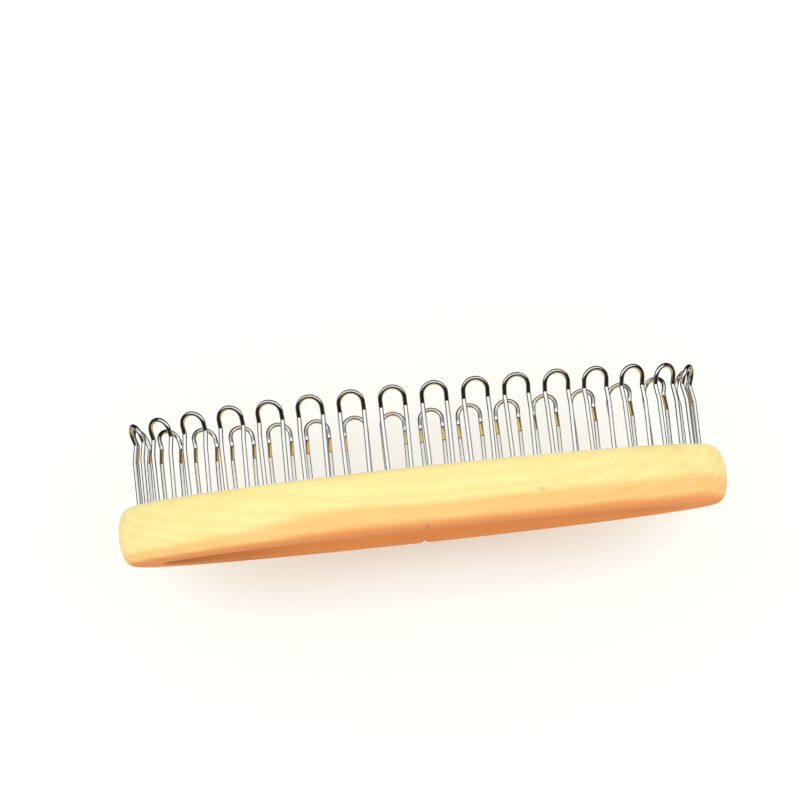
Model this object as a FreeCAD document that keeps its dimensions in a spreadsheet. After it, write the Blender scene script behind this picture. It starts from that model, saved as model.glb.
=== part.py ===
import FreeCAD, Part
import math
import os

import Sketcher
from FreeCAD import Placement, Rotation, Vector

# Oval sock loom: a wooden ring that lies flat on its underside, and a row of wire pegs on its top.
# The origin is the centre of the underside. +Z goes up through the pegs, X runs along the long side.

UP = Vector(0, 0, 1)

# Driving dimensions in millimetres, except the count. Each is a cell of the sheet under the same name.
DIMENSIONS = {
    # The wooden ring
    "ring_length": 187.0,
    "ring_width": 81.5,
    "ring_height": 18.0,
    "wall_width": 15.0,
    "outer_bulge": 2.4,
    "outer_edge_radius": 4.0,
    "inner_edge_radius": 2.5,
    "nick_width": 2.6,
    "nick_depth": 0.9,
    # The wire pegs
    "peg_count": 32,
    "wire_diameter": 1.4,
    "peg_height": 25.0,
    "leg_spacing": 6.8,
    "head_spacing": 7.2,
    "head_length": 6.3,
    "waist_length": 4.7,
    "waist_set": 0.9,
    "head_lean": 1.95,
    "bend_radius": 2.5,
    "splay_radius": 30.0,
    # How a peg sits in the wood
    "socket_depth": 10.0,
    "glue_gap": 0.05,
}

doc = FreeCAD.newDocument("sock_loom")


def make_sheet():
    """The driving dimensions, one to a row, each with its name as the alias of its cell."""
    sheet = doc.addObject("Spreadsheet::Sheet", "sizes")
    for row, (name, value) in enumerate(DIMENSIONS.items(), start=1):
        sheet.set("A%d" % row, name)
        sheet.set("B%d" % row, str(value))
        sheet.setAlias("B%d" % row, name)
    doc.recompute()
    return sheet


sheet = make_sheet()


def size(name):
    """A driving dimension as it stands in the sheet."""
    return float(sheet.get(name))


def origin_plane(body, role):
    """One of the body's own origin planes."""
    return next(item for item in body.Origin.OriginFeatures if item.Role == role)


def add_sketch(body, name, role):
    """A sketch of the body on one of its origin planes."""
    sketch = body.newObject("Sketcher::SketchObject", name)
    sketch.AttachmentSupport = (origin_plane(body, role), [""])
    sketch.MapMode = "FlatFace"
    return sketch


def constrain(sketch, name, expression, *args):
    """A named dimension of the sketch that follows the sheet."""
    index = sketch.addConstraint(Sketcher.Constraint(*args))
    sketch.renameConstraint(index, name)
    sketch.setExpression("Constraints." + name, expression)


def arc(centre, radius, start, end):
    """An arc about the centre between two directions in degrees, counterclockwise."""
    circle = Part.Circle(centre, UP, radius)
    return Part.ArcOfCircle(circle, math.radians(start), math.radians(end))


def draw_section():
    """The wall cut at its +X end: flat top and underside, a bulging outer face and a straight inner one."""
    height = size("ring_height")
    outer, inner = size("outer_edge_radius"), size("inner_edge_radius")
    bulge_radius = (height**2 / 4 + size("outer_bulge")**2) / (2 * size("outer_bulge"))
    bulge_middle = Vector(size("ring_length") / 2 - bulge_radius, height / 2, 0)
    rise = math.asin((height / 2 - outer) / (bulge_radius - outer))
    outer_reach = bulge_middle.x + (bulge_radius - outer) * math.cos(rise)
    inner_face = size("ring_length") / 2 - size("wall_width")
    inner_reach = inner_face + inner
    turn = math.degrees(rise)
    outline = [
        Part.LineSegment(Vector(inner_reach, 0, 0), Vector(outer_reach, 0, 0)),
        arc(Vector(outer_reach, outer, 0), outer, -90, -turn),
        arc(bulge_middle, bulge_radius, -turn, turn),
        arc(Vector(outer_reach, height - outer, 0), outer, turn, 90),
        Part.LineSegment(Vector(outer_reach, height, 0), Vector(inner_reach, height, 0)),
        arc(Vector(inner_reach, height - inner, 0), inner, 90, 180),
        Part.LineSegment(Vector(inner_face, height - inner, 0), Vector(inner_face, inner, 0)),
        arc(Vector(inner_reach, inner, 0), inner, 180, 270),
    ]
    underside, low_corner, bulge, high_corner, top, high_inner, inside, low_inner = range(len(outline))

    sketch = doc.addObject("Sketcher::SketchObject", "wall_section")
    sketch.Placement = Placement(Vector(), Rotation(Vector(1, 0, 0), 90))
    for piece in outline:
        sketch.addGeometry(piece)
    for piece in range(len(outline)):
        following = (piece + 1) % len(outline)
        sketch.addConstraint(Sketcher.Constraint("Tangent", piece, 2, following, 1))
    sketch.addConstraint(Sketcher.Constraint("Horizontal", underside))
    sketch.addConstraint(Sketcher.Constraint("Horizontal", top))
    sketch.addConstraint(Sketcher.Constraint("Vertical", inside))
    sketch.addConstraint(Sketcher.Constraint("PointOnObject", underside, 1, -1))
    sketch.addConstraint(Sketcher.Constraint("Equal", low_corner, high_corner))
    sketch.addConstraint(Sketcher.Constraint("Equal", low_inner, high_inner))
    constrain(sketch, "outer_edge", "sizes.outer_edge_radius", "Radius", low_corner, outer)
    constrain(sketch, "inner_edge", "sizes.inner_edge_radius", "Radius", low_inner, inner)
    constrain(sketch, "height", "sizes.ring_height", "DistanceY", -1, 1, top, 1, height)
    inner_place = "sizes.ring_length / 2 - sizes.wall_width"
    constrain(sketch, "inner_face", inner_place, "DistanceX", -1, 1, inside, 1, inner_face)
    # The bulge's radius follows from its depth over the full height of the wall.
    radius = "(sizes.ring_height^2 / 4 + sizes.outer_bulge^2) / (2 * sizes.outer_bulge)"
    constrain(sketch, "bulge", radius, "Radius", bulge, bulge_radius)
    middle_x = "sizes.ring_length / 2 - " + radius
    constrain(sketch, "bulge_x", middle_x, "DistanceX", -1, 1, bulge, 3, bulge_middle.x)
    constrain(sketch, "bulge_y", "sizes.ring_height / 2", "DistanceY", -1, 1, bulge, 3, bulge_middle.y)
    return sketch


def draw_row():
    """The ellipse that the pegs stand on, along the middle of the wall."""
    row = doc.addObject("Part::Ellipse", "peg_row")
    row.setExpression("MajorRadius", "(sizes.ring_length - sizes.wall_width) / 2")
    row.setExpression("MinorRadius", "(sizes.ring_width - sizes.wall_width) / 2")
    return row


def swept_wall(row, section):
    """The section led along the row, closed by true planes at the top and the underside."""
    outline = Part.Wire(Part.__sortEdges__(section.Edges))
    sides = Part.Wire(row.Edges).makePipeShell([outline], False, False)
    curved = [face for face in sides.Faces if face.BoundBox.ZLength > 0.1]
    closed = [edge for edge in sides.Edges if edge.isClosed()]
    planes = []
    for level in (0, size("ring_height")):
        rims = [edge for edge in closed if abs(edge.CenterOfMass.z - level) < 0.001]
        planes.append(Part.makeFace([Part.Wire([edge]) for edge in rims], "Part::FaceMakerBullseye"))
    shell = Part.Shell(curved + planes)
    shell.sewShape()
    wall = Part.Solid(shell)
    if wall.Volume < 0:
        wall.reverse()

    face = Part.Face(outline)
    offset = face.CenterOfMass.x - row.BoundBox.XMax
    exact = face.Area * (row.Length + 2 * math.pi * offset)
    print("wall: %.0f of %.0f mm3" % (wall.Volume, exact))
    return wall


def peg_places(row):
    """Place and turn of each peg, evenly spaced along the row.

    The first gap between pegs lies on the X axis, so all four quarters of the ring carry the same row.
    A peg's own X axis runs along the wall and its own Y axis points out of the ring.
    """
    count = int(size("peg_count"))
    places = []
    for point in row.discretize(Number=2 * count + 1)[1::2]:
        along = row.tangentAt(row.Curve.parameter(point))
        angle = math.degrees(math.atan2(-along.y, -along.x))
        seat = Vector(point.x, point.y, size("ring_height"))
        places.append(Placement(seat, Rotation(UP, angle)))
    return places


def make_ring(row, section, places):
    """The wooden ring: the wall, with the two nicks across its underside and the holes for the pegs."""
    wall = doc.addObject("Part::Feature", "wall")
    wall.Shape = swept_wall(row, section)
    body = doc.addObject("PartDesign::Body", "oval_ring")
    body.Label = "oval_ring"
    body.BaseFeature = wall
    doc.recompute()

    nick = add_sketch(body, "nick_outline", "XZ_Plane")
    corners = [Vector(-1, -1, 0), Vector(1, -1, 0), Vector(0, 1, 0)]
    for start, end in zip(corners, corners[1:] + corners[:1]):
        nick.addGeometry(Part.LineSegment(start, end))
    for line in range(3):
        nick.addConstraint(Sketcher.Constraint("Coincident", line, 2, (line + 1) % 3, 1))
    nick.addConstraint(Sketcher.Constraint("Symmetric", 0, 1, 0, 2, -2))
    nick.addConstraint(Sketcher.Constraint("PointOnObject", 1, 2, -2))
    # The nick is drawn once its own depth below the underside and as deep again above it.
    constrain(nick, "below", "sizes.nick_depth", "DistanceY", 0, 1, -1, 1, 1.0)
    constrain(nick, "above", "sizes.nick_depth", "DistanceY", -1, 1, 1, 2, 1.0)
    constrain(nick, "mouth", "2 * sizes.nick_width", "DistanceX", 0, 1, 0, 2, 2.0)
    nicks = body.newObject("PartDesign::Pocket", "nicks")
    nicks.Profile = nick
    nicks.Type = "ThroughAll"
    nicks.Midplane = True
    doc.recompute()

    holes = add_sketch(body, "peg_holes_outline", "XY_Plane")
    holes.setExpression("AttachmentOffset.Base.z", "sizes.ring_height")
    half_spacing = size("leg_spacing") / 2
    hole_radius = size("wire_diameter") / 2 + size("glue_gap")
    for number, place in enumerate(places):
        for side in (-1, 1):
            centre = place.multVec(Vector(side * half_spacing, 0, 0))
            circle = holes.addGeometry(Part.Circle(Vector(centre.x, centre.y, 0), UP, hole_radius))
            holes.addConstraint(Sketcher.Constraint("DistanceX", -1, 1, circle, 3, centre.x))
            holes.addConstraint(Sketcher.Constraint("DistanceY", -1, 1, circle, 3, centre.y))
            if circle > 0:
                holes.addConstraint(Sketcher.Constraint("Equal", 0, circle))
    constrain(holes, "radius", "sizes.wire_diameter / 2 + sizes.glue_gap", "Radius", 0, hole_radius)
    sockets = body.newObject("PartDesign::Pocket", "peg_holes")
    sockets.Profile = holes
    sockets.setExpression("Length", "sizes.socket_depth")
    doc.recompute()

    expected = 2 * len(places) * math.pi * hole_radius**2 * size("socket_depth")
    removed = nicks.Shape.Volume - sockets.Shape.Volume
    print("peg holes: %.1f of %.1f mm3" % (removed, expected))
    if removed < expected / 2 or nicks.Shape.Volume >= wall.Shape.Volume:
        raise RuntimeError("a cut in the ring points away from the wood")
    return body


def rounded_path(corners, radii):
    """Edges of a line through the corners, each inner corner rounded with its own radius."""
    edges = []
    start = corners[0]
    for before, corner, after, radius in zip(corners, corners[1:], corners[2:], radii):
        into = (corner - before).normalize()
        out = (after - corner).normalize()
        turn = into.getAngle(out)
        reach = radius * math.tan(turn / 2)
        first = corner - into * reach
        last = corner + out * reach
        towards = (out - into).normalize()
        middle = corner + towards * (radius / math.cos(turn / 2) - radius)
        edges.append(Part.makeLine(start, first))
        edges.append(Part.Arc(first, middle, last).toShape())
        start = last
    edges.append(Part.makeLine(start, corners[-1]))
    return edges


def peg_line():
    """Middle line of the wire of one peg, standing at the origin with the wood's top at z = 0.

    A leg goes up out of its hole and splays a little to the width of the head. At the waist it is set
    towards the inside, and from there the head leans out and closes in a half circle.
    """
    half_leg = size("leg_spacing") / 2
    half_head = size("head_spacing") / 2
    top = size("peg_height") - size("wire_diameter") / 2
    kink_height = size("peg_height") - size("head_length")
    waist_height = kink_height - size("waist_length")
    kink = Vector(half_head, -size("waist_set"), kink_height)
    crown = Vector(0, size("head_lean") - size("waist_set"), top)
    # The head's own plane holds the wall's direction and this one, from the kinks up to the crown.
    rise = (crown - Vector(0, kink.y, kink.z)).normalize()
    shoulder = crown - rise * half_head + Vector(half_head, 0, 0)

    leg = [
        Vector(half_leg, 0, -size("socket_depth")),
        Vector(half_leg, 0, 0),
        Vector(half_head, 0, waist_height),
        kink,
        shoulder,
    ]
    radii = [size("splay_radius"), size("bend_radius"), size("bend_radius")]
    right = rounded_path(leg, radii)
    mirror = [Vector(-point.x, point.y, point.z) for point in leg]
    left = rounded_path(mirror, radii)
    head = Part.Arc(shoulder, crown, mirror[-1]).toShape()
    return Part.Wire(Part.__sortEdges__(right + [head] + left))


def make_pegs(places):
    """The wire pegs: one line and one round section, swept once for each place."""
    line = doc.addObject("Part::Feature", "peg_line")
    line.Shape = peg_line()
    section = doc.addObject("Part::Circle", "wire_section")
    section.setExpression("Radius", "sizes.wire_diameter / 2")
    section.Placement = Placement(line.Shape.OrderedVertexes[0].Point, Rotation())
    path = ["Edge%d" % number for number in range(1, len(line.Shape.Edges) + 1)]
    pegs = []
    for number, place in enumerate(places, start=1):
        name = "peg_%02d" % number
        peg = doc.addObject("Part::Sweep", name)
        peg.Label = name
        peg.Sections = [section]
        peg.Spine = (line, path)
        peg.Solid = True
        peg.Placement = place
        pegs.append(peg)
    doc.recompute()

    exact = line.Shape.Length * math.pi * (size("wire_diameter") / 2) ** 2
    made = pegs[0].Shape.Volume
    print("wire of a peg: %.2f mm long, %.2f of %.2f mm3" % (line.Shape.Length, made, exact))
    return pegs


def check(subparts):
    """Every object is up to date and free of errors, and every sub-part is a sound solid."""
    for item in doc.Objects:
        if "Invalid" in item.State or "Error" in item.State:
            raise RuntimeError("%s could not be built: %s" % (item.Name, item.State))
    for item in subparts:
        shape = item.Shape
        if shape.isNull() or not shape.isValid() or len(shape.Solids) != 1 or shape.Volume <= 0:
            raise RuntimeError("%s is not one sound solid" % item.Label)


def main():
    row, section = draw_row(), draw_section()
    doc.recompute()
    places = peg_places(row.Shape.Edges[0])
    subparts = [make_ring(row.Shape, section.Shape, places)] + make_pegs(places)
    doc.recompute()
    check(subparts)
    os.makedirs("parts", exist_ok=True)
    for item in subparts:
        item.Shape.exportStep("parts/%s.step" % item.Label)
    print("%d sub-parts written" % len(subparts))


main()
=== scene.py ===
"""Oval sock loom: the finish of the wooden ring and of its wire pegs, and the studio around them."""
import math

import bmesh
import bpy
from bpy.props import FloatProperty, FloatVectorProperty, PointerProperty
from mathutils import Matrix, Vector


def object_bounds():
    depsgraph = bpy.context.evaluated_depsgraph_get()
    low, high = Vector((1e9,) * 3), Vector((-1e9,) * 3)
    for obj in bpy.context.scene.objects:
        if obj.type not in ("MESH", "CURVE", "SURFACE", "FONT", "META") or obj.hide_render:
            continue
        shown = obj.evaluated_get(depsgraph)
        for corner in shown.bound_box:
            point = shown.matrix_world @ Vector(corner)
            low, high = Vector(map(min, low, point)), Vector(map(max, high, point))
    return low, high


bl_info = {
    "name": "Oval Sock Loom",
    "version": (1, 0, 0),
    "blender": (4, 5, 0),
    "location": "3D View > Sidebar > Sock Loom",
    "description": "Finishes an oval wooden sock loom with wire pegs and sets up its studio",
    "category": "Object",
}

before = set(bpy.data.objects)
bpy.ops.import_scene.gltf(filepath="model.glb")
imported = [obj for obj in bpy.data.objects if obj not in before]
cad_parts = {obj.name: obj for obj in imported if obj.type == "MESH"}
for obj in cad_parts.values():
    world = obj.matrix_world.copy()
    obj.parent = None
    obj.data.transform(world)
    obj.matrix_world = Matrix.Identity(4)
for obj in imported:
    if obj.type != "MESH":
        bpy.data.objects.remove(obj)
CAD_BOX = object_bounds()
RING = "oval_ring"
PEGS = sorted(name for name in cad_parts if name.startswith("peg_"))
# The scene is in metres. The wood's patterns and the ring's height are in millimetres.
MM = 0.001
RING_HEIGHT = 18.0


def linear(code):
    """Linear colour of an sRGB hex value."""
    channels = [int(code[start:start + 2], 16) / 255 for start in (0, 2, 4)]
    return tuple(c / 12.92 if c <= 0.04045 else ((c + 0.055) / 1.055) ** 2.4 for c in channels)


def add_node(tree, kind, inputs=None, **fields):
    """A node with its fields set. inputs gives sockets, by name or number, a value or a socket to link."""
    node = tree.nodes.new(kind)
    for field, value in fields.items():
        setattr(node, field, value)
    for key, value in (inputs or {}).items():
        if isinstance(value, bpy.types.NodeSocket):
            tree.links.new(value, node.inputs[key])
        else:
            node.inputs[key].default_value = value
    return node


def empty_material(name):
    """A new material whose node tree is empty."""
    material = bpy.data.materials.new(name)
    material.use_nodes = True
    material.node_tree.nodes.clear()
    return material


def give_material(names, material):
    """Puts the material in every slot of the CAD nodes."""
    for name in names:
        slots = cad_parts[name].data.materials
        for number in range(len(slots)):
            slots[number] = material


class LoomWood(bpy.types.PropertyGroup):
    """Finish of the wooden ring"""

    # The ring is pale at the top. Below, painted shade makes it warmer and then deep orange.
    pale_wood: FloatVectorProperty(
        name="Sapwood", description="Colour of the pale wood in the upper half of the ring",
        subtype="COLOR", min=0, max=1, default=linear("FDF0A6"))
    # Painted shade: the warmer tone of the lower half.
    shaded_wood: FloatVectorProperty(
        name="Heartwood", description="Colour of the warmer wood in the lower half of the ring",
        subtype="COLOR", min=0, max=1, default=linear("FFD28A"))
    # Painted shade: the deep orange of the underside.
    core: FloatVectorProperty(
        name="Core", description="Colour of the deepest wood, at the ring's underside",
        subtype="COLOR", min=0, max=1, default=linear("F4A05C"))
    # Painted shade: the darkest underside, round the opening and at the back.
    deep_shade: FloatVectorProperty(
        name="Dark Core", description="Colour of the core round the opening, where it is darkest",
        subtype="COLOR", min=0, max=1, default=linear("BB7238"))
    latewood: FloatVectorProperty(
        name="Latewood", description="Tint of the dense part of a growth ring and of the fibre streaks",
        subtype="COLOR", min=0, max=1, default=linear("F4DFBE"))
    knot: FloatVectorProperty(
        name="Knot", description="Colour of the ray flecks and of the pin knot",
        subtype="COLOR", min=0, max=1, default=linear("B98C4C"))
    # Height of the line where the painted shade begins.
    shade_line_height: FloatProperty(
        name="Heartwood Height", description="Height of the heartwood in the ring, in millimetres",
        min=1, default=7.6)
    ring_spacing: FloatProperty(
        name="Ring Spacing", description="Distance between growth rings, in millimetres",
        min=0.5, default=3.4)
    fibre_width: FloatProperty(
        name="Fibre Width", description="Width of the fine fibre streaks, in millimetres",
        min=0.1, default=0.55)
    fibre_length: FloatProperty(
        name="Fibre Length", description="Length of the fine fibre streaks, in millimetres",
        min=1, default=38)


class LoomWire(bpy.types.PropertyGroup):
    """Finish of the wire pegs"""

    colour: FloatVectorProperty(
        name="Wire", description="Colour of the bright drawn steel",
        subtype="COLOR", min=0, max=1, default=linear("E4E4E1"))
    roughness: FloatProperty(
        name="Roughness", description="Roughness of the drawn surface",
        min=0, max=1, default=0.08)


class LoomStudio(bpy.types.PropertyGroup):
    """Lamps, soft light, paper and camera"""

    key_level: FloatProperty(
        name="Key", description="Light that the key lamp gives a white surface facing it",
        min=0, default=0.22)
    fill_level: FloatProperty(
        name="Fill", description="Light that the low lamp gives a white surface facing it",
        min=0, default=0.16)
    back_level: FloatProperty(
        name="Back", description="Light that the lamp behind gives a white surface facing it",
        min=0, default=0.3)
    above_level: FloatProperty(
        name="Above", description="Brightness of the soft light from straight above",
        min=0, default=0.82)
    below_level: FloatProperty(
        name="Below", description="Brightness of the soft light from straight below",
        min=0, default=0.95)
    room_level: FloatProperty(
        name="Room", description="Brightness of the white room that the wire reflects",
        min=0, default=1.25)
    paper: FloatVectorProperty(
        name="Paper", description="Colour of the floor and of the backdrop",
        subtype="COLOR", min=0, max=1, default=linear("FFFEF9"))
    # Painted shade: the warm colour that the paper takes close to the wood.
    paper_shade: FloatVectorProperty(
        name="Paper Shade", description="Colour of the paper where it all but touches the wood",
        subtype="COLOR", min=0, max=1, default=linear("CDB297"))
    camera_place: FloatVectorProperty(
        name="Camera", description="Where the camera stands, low in front of the loom",
        subtype="TRANSLATION", unit="LENGTH", default=(-0.01341, -0.71454, -0.04507))
    camera_yaw: FloatProperty(
        name="Yaw", description="How far the camera turns to the right of straight ahead",
        subtype="ANGLE", unit="ROTATION", default=0.0139)
    camera_pitch: FloatProperty(
        name="Pitch", description="How far the camera looks up",
        subtype="ANGLE", unit="ROTATION", default=0.1217)
    camera_roll: FloatProperty(
        name="Roll", description="How far the camera leans, which slopes the loom up to the right",
        subtype="ANGLE", unit="ROTATION", default=0.1092)
    lens: FloatProperty(
        name="Lens", description="Focal length on a sensor 36 mm wide, in millimetres",
        min=1, default=105.18)


def streaks(tree, point, length, width, detail, seed):
    """A noise from 0 to 1 whose marks have the length and width along the plank, in millimetres."""
    stretched = add_node(tree, "ShaderNodeMapping", {
        "Vector": point, "Location": (seed, seed, seed), "Scale": (1 / length, 1 / width, 1 / width)})
    noise = add_node(tree, "ShaderNodeTexNoise", {
        "Vector": stretched.outputs["Vector"], "Scale": 1.0, "Detail": detail, "Roughness": 0.55})
    return noise.outputs["Fac"]


def spot(tree, point, centre, size, strength):
    """A soft oval mark, 0 at its edge and at its strength in the middle. size is its reach each way."""
    local = add_node(tree, "ShaderNodeMapping", {
        "Vector": point, "Location": centre, "Scale": size}, vector_type="TEXTURE")
    away = add_node(tree, "ShaderNodeVectorMath", {0: local.outputs["Vector"]}, operation="LENGTH")
    mark = add_node(tree, "ShaderNodeMapRange", {
        "Value": away.outputs["Value"], "From Min": 1.0, "From Max": 0.2, "To Max": strength},
        interpolation_type="SMOOTHSTEP")
    return mark.outputs["Result"]


def growth_rings(tree, point, spacing):
    """The wood's density, from 0 in the early wood to 0.75 in the late wood of each growth ring."""
    # The plank's pith lies 95 mm below the loom and 38 mm behind its middle.
    pith = add_node(tree, "ShaderNodeMapping", {
        "Vector": point, "Location": (0, -38, 95), "Scale": (0, 1, 1)})
    radius = add_node(tree, "ShaderNodeVectorMath", {0: pith.outputs["Vector"]}, operation="LENGTH")
    # The growth rings wander by up to 9 mm along the plank.
    grown = add_node(tree, "ShaderNodeMath", {
        0: streaks(tree, point, length=120, width=30, detail=2, seed=3), 1: 9.0,
        2: radius.outputs["Value"]}, operation="MULTIPLY_ADD")
    turns = add_node(tree, "ShaderNodeMath", {0: grown.outputs["Value"], 1: spacing}, operation="DIVIDE")
    share = add_node(tree, "ShaderNodeMath", {0: turns.outputs["Value"]}, operation="FRACT")
    density = add_node(tree, "ShaderNodeFloatCurve", {"Value": share.outputs["Value"]})
    curve = density.mapping.curves[0]
    curve.points[0].location = (0, 0.25)
    curve.points[1].location = (1, 0.25)
    curve.points.new(0.3, 0.0)
    curve.points.new(0.86, 0.75)
    density.mapping.update()
    return density.outputs["Value"]


def wood_tone_and_shade(tree, point, normal, finish):
    """Pale at the top, painted shade below: a warmer tone, then deep orange at the underside, softly
    blended.

    The line where the painted shade begins wanders by a millimetre or so. It is higher round the opening,
    which paints shade on the inner faces, and lower towards the left end, which paints light there. The
    underside is painted darker still round the opening and at the back, most of all at that end.
    """
    axes = add_node(tree, "ShaderNodeSeparateXYZ", {0: point})
    along, across, height = (axes.outputs[axis] for axis in "XYZ")
    # A face looks into the opening where its normal runs against its place.
    flat = add_node(tree, "ShaderNodeVectorMath", {0: point, 1: (1, 1, 0)}, operation="MULTIPLY")
    outward = add_node(tree, "ShaderNodeVectorMath", {
        0: flat.outputs["Vector"], 1: normal}, operation="DOT_PRODUCT")
    inside = add_node(tree, "ShaderNodeMapRange", {
        "Value": outward.outputs["Value"], "From Min": -4.0, "From Max": -22.0})

    # The pattern is lowered by shift, in millimetres. The streaks add 2.5 on average, which the -2.5 takes
    # off again, and round the opening it stands 8 mm higher, which paints shade on the inner faces.
    # Towards the left end the pattern is lowered, which paints light on that end.
    lower = add_node(tree, "ShaderNodeMapRange", {
        "Value": along, "From Min": -15.0, "From Max": -90.0, "To Min": -2.5, "To Max": 2.4},
        interpolation_type="SMOOTHSTEP")
    shift = add_node(tree, "ShaderNodeMath", {
        0: streaks(tree, point, length=60, width=30, detail=2, seed=57), 1: 5.0,
        2: lower.outputs["Result"]}, operation="MULTIPLY_ADD")
    shift = add_node(tree, "ShaderNodeMath", {
        0: inside.outputs["Result"], 1: -8.0, 2: shift.outputs["Value"]}, operation="MULTIPLY_ADD")
    # The shift fades out over the lowest 4 mm, so the underside takes the full painted shade.
    fade = add_node(tree, "ShaderNodeMapRange", {"Value": height, "From Max": 4.0})
    shifted = add_node(tree, "ShaderNodeMath", {
        0: shift.outputs["Value"], 1: fade.outputs["Result"], 2: height}, operation="MULTIPLY_ADD")
    level = add_node(tree, "ShaderNodeMath", {
        0: shifted.outputs["Value"], 1: RING_HEIGHT}, operation="DIVIDE")

    # The places on the ramp are shares of the ring's height.
    full_shade_top = 0.03
    shaded_wood_bottom = 0.18
    softness = 0.09
    line = finish.shade_line_height / RING_HEIGHT
    # The ramp paints shade by height: deep orange at the underside, warmer low down, pale at the top.
    plank = add_node(tree, "ShaderNodeValToRGB", {"Fac": level.outputs["Value"]})
    plank.color_ramp.interpolation = "EASE"
    stops = plank.color_ramp.elements
    stops[0].position = 0.0
    stops[0].color = (*finish.core, 1)
    stops[1].position = line + softness
    stops[1].color = (*finish.pale_wood, 1)
    stops.new(full_shade_top).color = (*finish.core, 1)
    for position in (shaded_wood_bottom, line - softness):
        stops.new(position).color = (*finish.shaded_wood, 1)

    # Painted shade, darker round the opening and at the back, faint at first and full at the left end.
    back = add_node(tree, "ShaderNodeMapRange", {"Value": across, "From Min": 5.0, "From Max": 25.0})
    region = add_node(tree, "ShaderNodeMath", {
        0: inside.outputs["Result"], 1: back.outputs["Result"]}, operation="MAXIMUM")
    left = add_node(tree, "ShaderNodeMapRange", {
        "Value": along, "From Min": -35.0, "From Max": -78.0, "To Min": 0.3})
    deep = add_node(tree, "ShaderNodeMapRange", {
        "Value": level.outputs["Value"], "From Min": shaded_wood_bottom, "From Max": full_shade_top})
    # Painted shade mask: opening or back, times the left end, times depth towards the underside.
    dark = add_node(tree, "ShaderNodeMath", {
        0: region.outputs["Value"], 1: left.outputs["Result"]}, operation="MULTIPLY")
    dark = add_node(tree, "ShaderNodeMath", {
        0: dark.outputs["Value"], 1: deep.outputs["Result"]}, operation="MULTIPLY")
    colour = add_node(tree, "ShaderNodeMix", {
        "Factor": dark.outputs["Value"], 6: plank.outputs["Color"], 7: (*finish.deep_shade, 1)},
        data_type="RGBA")
    return colour.outputs[2]


def wood_material(finish):
    """Sanded beech under a thin clear lacquer, sawn from a plank along the ring's long side.

    Growth rings and fibre streaks run faintly along the long faces, and the rings turn to arcs at the ends.
    The near side has one pin knot. The lacquer gives a broad, soft sheen. Its colour holds painted shade,
    deeper towards the underside, round the opening and at the back, and painted light on the left end.
    """
    material = empty_material("lacquered_beech")
    tree = material.node_tree
    place = add_node(tree, "ShaderNodeTexCoord")
    # All patterns are laid out in millimetres.
    millimetres = add_node(tree, "ShaderNodeMapping", {
        "Vector": place.outputs["Object"], "Scale": (1 / MM, 1 / MM, 1 / MM)})
    point = millimetres.outputs["Vector"]

    # The tint deepens with each pattern by its share. It starts below nothing, so faint grain stays clear.
    fibre = streaks(tree, point, finish.fibre_length, finish.fibre_width, detail=3, seed=11)
    broad = streaks(tree, point, length=95, width=5, detail=2, seed=23)
    depth = -0.46
    for pattern, share in (
        (growth_rings(tree, point, finish.ring_spacing), 0.22),
        (fibre, 0.6),
        (broad, 0.8),
    ):
        deeper = add_node(tree, "ShaderNodeMath", {
            0: pattern, 1: share, 2: depth}, operation="MULTIPLY_ADD")
        depth = deeper.outputs["Value"]
    grain = add_node(tree, "ShaderNodeMix", {
        "Factor": depth, 6: wood_tone_and_shade(tree, point, place.outputs["Normal"], finish),
        7: (*finish.latewood, 1)}, data_type="RGBA", blend_type="MULTIPLY")

    # Ray flecks are a few millimetres long. The pin knot is 4 mm long, and a thin streak runs on from it.
    fleck = add_node(tree, "ShaderNodeMapRange", {
        "Value": streaks(tree, point, length=3.2, width=0.4, detail=1, seed=41),
        "From Min": 0.66, "From Max": 0.76, "To Max": 0.16})
    knot = spot(tree, point, centre=(34.3, -40, 7.5), size=(2.6, 9, 0.9), strength=0.3)
    tail = spot(tree, point, centre=(41, -40, 7.9), size=(8, 9, 0.45), strength=0.14)
    marks = add_node(tree, "ShaderNodeMath", {0: fleck.outputs["Result"], 1: knot}, operation="ADD")
    marks = add_node(tree, "ShaderNodeMath", {0: marks.outputs["Value"], 1: tail}, operation="ADD")
    wood = add_node(tree, "ShaderNodeMix", {
        "Factor": marks.outputs["Value"], 6: grain.outputs[2], 7: (*finish.knot, 1)}, data_type="RGBA")

    sheen = add_node(tree, "ShaderNodeMapRange", {"Value": fibre, "To Min": 0.54, "To Max": 0.68})
    relief = add_node(tree, "ShaderNodeBump", {"Height": fibre, "Strength": 0.25, "Distance": 0.05 * MM})
    surface = add_node(tree, "ShaderNodeBsdfPrincipled", {
        "Base Color": wood.outputs[2], "Roughness": sheen.outputs["Result"], "IOR": 1.3,
        "Coat Weight": 0.08, "Coat Roughness": 0.4, "Normal": relief.outputs["Normal"]})
    add_node(tree, "ShaderNodeOutputMaterial", {"Surface": surface.outputs["BSDF"]})
    return material


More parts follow.
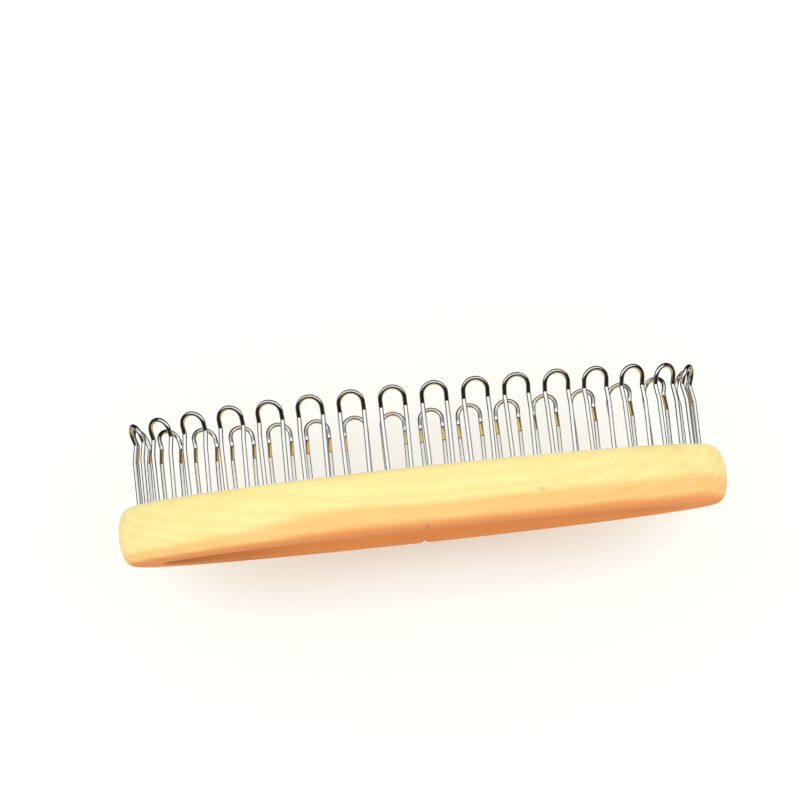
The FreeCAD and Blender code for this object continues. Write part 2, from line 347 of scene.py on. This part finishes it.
def wire_material(finish):
    """Bright drawn steel wire: a mirror-like skin with faint marks from the die and the bending."""
    material = empty_material("drawn_steel_wire")
    tree = material.node_tree
    place = add_node(tree, "ShaderNodeTexCoord")
    # Die marks are a few hundredths of a millimetre wide. They are drawn at 0.4 mm, to show at all.
    marks = add_node(tree, "ShaderNodeMapping", {
        "Vector": place.outputs["Object"], "Scale": (2.5 / MM, 2.5 / MM, 0.8 / MM)})
    drawn = add_node(tree, "ShaderNodeTexNoise", {
        "Vector": marks.outputs["Vector"], "Scale": 1.0, "Detail": 2.0})
    gloss = add_node(tree, "ShaderNodeMapRange", {
        "Value": drawn.outputs["Fac"], "From Min": 0.3, "From Max": 0.7,
        "To Min": finish.roughness * 0.7, "To Max": finish.roughness * 1.5})
    relief = add_node(tree, "ShaderNodeBump", {
        "Height": drawn.outputs["Fac"], "Strength": 0.04, "Distance": 0.01 * MM})
    surface = add_node(tree, "ShaderNodeBsdfPrincipled", {
        "Base Color": (*finish.colour, 1), "Metallic": 1.0, "Roughness": gloss.outputs["Result"],
        "Normal": relief.outputs["Normal"]})
    add_node(tree, "ShaderNodeOutputMaterial", {"Surface": surface.outputs["BSDF"]})
    return material


def paper_material(studio):
    """Matt studio paper that is seen from its front only, so it never hides the loom.

    Two thirds of its white is a glow of its own, which keeps the loom's shadow on it faint. Close to the
    wood a little warm shade is painted on it, masked by ambient occlusion.
    """
    glow_share = 0.66
    matt_share = 0.36
    shade_width = 22 * MM
    material = empty_material("studio_paper")
    tree = material.node_tree
    # An ambient occlusion mask paints a warm shade on the paper close to the wood.
    near = add_node(tree, "ShaderNodeAmbientOcclusion", {"Distance": shade_width}, samples=16)
    # The painted shade eases off up the wood's height. From the wood's top upwards a quarter of it is left.
    place = add_node(tree, "ShaderNodeTexCoord")
    axes = add_node(tree, "ShaderNodeSeparateXYZ", {0: place.outputs["Object"]})
    ease = add_node(tree, "ShaderNodeMapRange", {
        "Value": axes.outputs["Z"], "From Max": RING_HEIGHT * MM, "To Max": 0.75})
    clear_of_wood = add_node(tree, "ShaderNodeMix", {
        "Factor": ease.outputs["Result"], 2: near.outputs["AO"], 3: 1.0})
    tint = add_node(tree, "ShaderNodeMix", {
        "Factor": clear_of_wood.outputs["Result"], 6: (*studio.paper_shade, 1), 7: (*studio.paper, 1)},
        data_type="RGBA")
    dimmed = add_node(tree, "ShaderNodeMix", {
        "Factor": matt_share, 6: (0, 0, 0, 1), 7: tint.outputs[2]}, data_type="RGBA")
    matt = add_node(tree, "ShaderNodeBsdfDiffuse", {"Color": dimmed.outputs[2]})
    glow = add_node(tree, "ShaderNodeEmission", {"Color": tint.outputs[2], "Strength": glow_share})
    front = add_node(tree, "ShaderNodeAddShader", {0: matt.outputs["BSDF"], 1: glow.outputs["Emission"]})
    clear = add_node(tree, "ShaderNodeBsdfTransparent")
    side = add_node(tree, "ShaderNodeNewGeometry")
    sheet = add_node(tree, "ShaderNodeMixShader", {
        0: side.outputs["Backfacing"], 1: front.outputs["Shader"], 2: clear.outputs["BSDF"]})
    add_node(tree, "ShaderNodeOutputMaterial", {"Surface": sheet.outputs["Shader"]})
    return material


def paper_sheet(name, place, facing, material):
    """A flat square of paper, 4 m wide, whose front faces the given way. Only the camera sees it."""
    shape = bmesh.new()
    turn = facing.to_track_quat("Z", "Y").to_matrix().to_4x4()
    bmesh.ops.create_grid(
        shape, x_segments=1, y_segments=1, size=2.0, matrix=Matrix.Translation(place) @ turn)
    mesh = bpy.data.meshes.new(name)
    shape.to_mesh(mesh)
    shape.free()
    mesh.materials.append(material)
    sheet = bpy.data.objects.new(name, mesh)
    sheet.visible_diffuse = False
    sheet.visible_glossy = False
    sheet.visible_transmission = False
    sheet.visible_shadow = False
    bpy.context.scene.collection.objects.link(sheet)


def softbox(name, place, size, level, target):
    """A square soft lamp. level is the light it gives a white surface that faces it at the target."""
    lamp = bpy.data.lights.new(name, "AREA")
    lamp.size = size
    distance = (target - place).length
    lamp.energy = level * math.pi ** 2 * distance ** 2
    holder = bpy.data.objects.new(name, lamp)
    holder.location = place
    holder.rotation_euler = (target - place).to_track_quat("-Z", "Y").to_euler()
    holder.visible_camera = False
    holder.visible_glossy = False
    bpy.context.scene.collection.objects.link(holder)


def studio_world(studio):
    """White to the eye, soft light for matt surfaces, and for metal a bright room with dark parts."""
    dark_level = 0.02
    world = bpy.data.worlds.new("studio")
    world.use_nodes = True
    tree = world.node_tree
    tree.nodes.clear()
    place = add_node(tree, "ShaderNodeTexCoord")
    toward = add_node(tree, "ShaderNodeSeparateXYZ", {0: place.outputs["Generated"]})
    soft = add_node(tree, "ShaderNodeMapRange", {
        "Value": toward.outputs["Z"], "From Min": -0.7, "From Max": 0.7,
        "To Min": studio.below_level, "To Max": studio.above_level}, interpolation_type="SMOOTHSTEP")

    # The room that metal reflects has a dark band over the top, between its bright front and bright back.
    aside = add_node(tree, "ShaderNodeMath", {0: toward.outputs["Y"], 1: 0.2}, operation="SUBTRACT")
    aside = add_node(tree, "ShaderNodeMath", {0: aside.outputs["Value"]}, operation="ABSOLUTE")
    band = add_node(tree, "ShaderNodeMapRange", {
        "Value": aside.outputs["Value"], "From Min": 0.58, "From Max": 0.66, "To Min": dark_level},
        interpolation_type="SMOOTHSTEP")
    # Above 34 degrees its ceiling is grey, which shades the far heads.
    ceiling = add_node(tree, "ShaderNodeMapRange", {
        "Value": toward.outputs["Z"], "From Min": 0.56, "From Max": 0.66,
        "To Min": studio.room_level, "To Max": 0.4 * studio.room_level}, interpolation_type="SMOOTHSTEP")
    upper = add_node(tree, "ShaderNodeMath", {
        0: band.outputs["Result"], 1: ceiling.outputs["Result"]}, operation="MULTIPLY")
    # Below the horizon it is dark in front, and behind it is lit paper in a warm shade.
    lower = add_node(tree, "ShaderNodeMapRange", {
        "Value": toward.outputs["Y"], "From Min": -0.1, "From Max": 0.3,
        "To Min": dark_level, "To Max": 0.5}, interpolation_type="SMOOTHSTEP")
    horizon = add_node(tree, "ShaderNodeMapRange", {
        "Value": toward.outputs["Z"], "From Min": -0.02, "From Max": 0.07}, interpolation_type="SMOOTHSTEP")
    room = add_node(tree, "ShaderNodeMix", {
        "Factor": horizon.outputs["Result"], 2: lower.outputs["Result"], 3: upper.outputs["Value"]})
    shade = add_node(tree, "ShaderNodeMix", {
        "Factor": horizon.outputs["Result"], 6: (*linear("F2DFCB"), 1), 7: (1, 1, 1, 1)}, data_type="RGBA")

    path = add_node(tree, "ShaderNodeLightPath")
    eye = add_node(tree, "ShaderNodeBackground", {"Color": (*studio.paper, 1), "Strength": 1.0})
    metal = add_node(tree, "ShaderNodeBackground", {
        "Color": shade.outputs[2], "Strength": room.outputs["Result"]})
    matt = add_node(tree, "ShaderNodeBackground", {
        "Color": (1, 1, 1, 1), "Strength": soft.outputs["Result"]})
    light = add_node(tree, "ShaderNodeMixShader", {
        0: path.outputs["Is Glossy Ray"], 1: matt.outputs["Background"], 2: metal.outputs["Background"]})
    sky = add_node(tree, "ShaderNodeMixShader", {
        0: path.outputs["Is Camera Ray"], 1: light.outputs["Shader"], 2: eye.outputs["Background"]})
    add_node(tree, "ShaderNodeOutputWorld", {"Surface": sky.outputs["Shader"]})
    bpy.context.scene.world = world


def add_camera(studio):
    """The camera in front of the loom, turned by its yaw, pitch and roll."""
    data = bpy.data.cameras.new("camera")
    data.sensor_width = 36
    data.lens = studio.lens
    data.clip_start = 0.01
    camera = bpy.data.objects.new("camera", data)
    turn = Matrix.Rotation(-studio.camera_yaw, 4, "Z")
    turn = turn @ Matrix.Rotation(math.pi / 2 + studio.camera_pitch, 4, "X")
    turn = turn @ Matrix.Rotation(-studio.camera_roll, 4, "Z")
    camera.matrix_world = Matrix.Translation(studio.camera_place) @ turn
    bpy.context.scene.collection.objects.link(camera)
    bpy.context.scene.camera = camera


class LOOM_OT_wooden_ring(bpy.types.Operator):
    """Finish the wooden ring"""

    bl_idname = "loom.wooden_ring"
    bl_label = "Wooden Ring"

    def execute(self, context):
        give_material([RING], wood_material(context.scene.loom_wood))
        return {"FINISHED"}


class LOOM_OT_wire_pegs(bpy.types.Operator):
    """Finish the row of wire pegs"""

    bl_idname = "loom.wire_pegs"
    bl_label = "Wire Pegs"

    def execute(self, context):
        give_material(PEGS, wire_material(context.scene.loom_wire))
        return {"FINISHED"}


class LOOM_OT_studio(bpy.types.Operator):
    """Set up the paper, the lamps, the soft light and the camera"""

    bl_idname = "loom.studio"
    bl_label = "Studio"

    def execute(self, context):
        studio = context.scene.loom_studio
        context.scene.view_settings.view_transform = "Standard"
        low, high = CAD_BOX
        paper = paper_material(studio)
        paper_sheet("floor", Vector((0, 0, low.z)), Vector((0, 0, 1)), paper)
        # The loom's far long side all but touches the backdrop.
        paper_sheet("backdrop", Vector((0, high.y + 0.3 * MM, 0)), Vector((0, -1, 0)), paper)
        # Each lamp has its place, its width and its level.
        for name, place, size, level in (
            ("key", (-1.1, -0.95, 0.5), 1.4, studio.key_level),
            ("fill", (0.8, -1.2, 0.1), 0.7, studio.fill_level),
            ("back", (0.6, 1.0, 0.8), 1.0, studio.back_level),
        ):
            softbox(name, Vector(place), size, level, target=(low + high) / 2)
        studio_world(studio)
        add_camera(studio)
        return {"FINISHED"}


class LOOM_PT_panel(bpy.types.Panel):
    """Finishes the sock loom and sets up its studio"""

    bl_label = "Sock Loom"
    bl_idname = "LOOM_PT_panel"
    bl_space_type = "VIEW_3D"
    bl_region_type = "UI"
    bl_category = "Sock Loom"

    def draw(self, context):
        scene = context.scene
        for operator, group in (
            (LOOM_OT_wooden_ring, scene.loom_wood),
            (LOOM_OT_wire_pegs, scene.loom_wire),
            (LOOM_OT_studio, scene.loom_studio),
        ):
            box = self.layout.box()
            for name in type(group).__annotations__:
                box.prop(group, name)
            box.operator(operator.bl_idname)


CLASSES = (
    LoomWood,
    LoomWire,
    LoomStudio,
    LOOM_OT_wooden_ring,
    LOOM_OT_wire_pegs,
    LOOM_OT_studio,
    LOOM_PT_panel,
)


def register():
    for item in CLASSES:
        bpy.utils.register_class(item)
    bpy.types.Scene.loom_wood = PointerProperty(type=LoomWood)
    bpy.types.Scene.loom_wire = PointerProperty(type=LoomWire)
    bpy.types.Scene.loom_studio = PointerProperty(type=LoomStudio)


def unregister():
    del bpy.types.Scene.loom_studio
    del bpy.types.Scene.loom_wire
    del bpy.types.Scene.loom_wood
    for item in reversed(CLASSES):
        bpy.utils.unregister_class(item)


def main():
    register()
    bpy.ops.loom.wooden_ring()
    bpy.ops.loom.wire_pegs()
    bpy.ops.loom.studio()


if __name__ == "__main__":
    main()
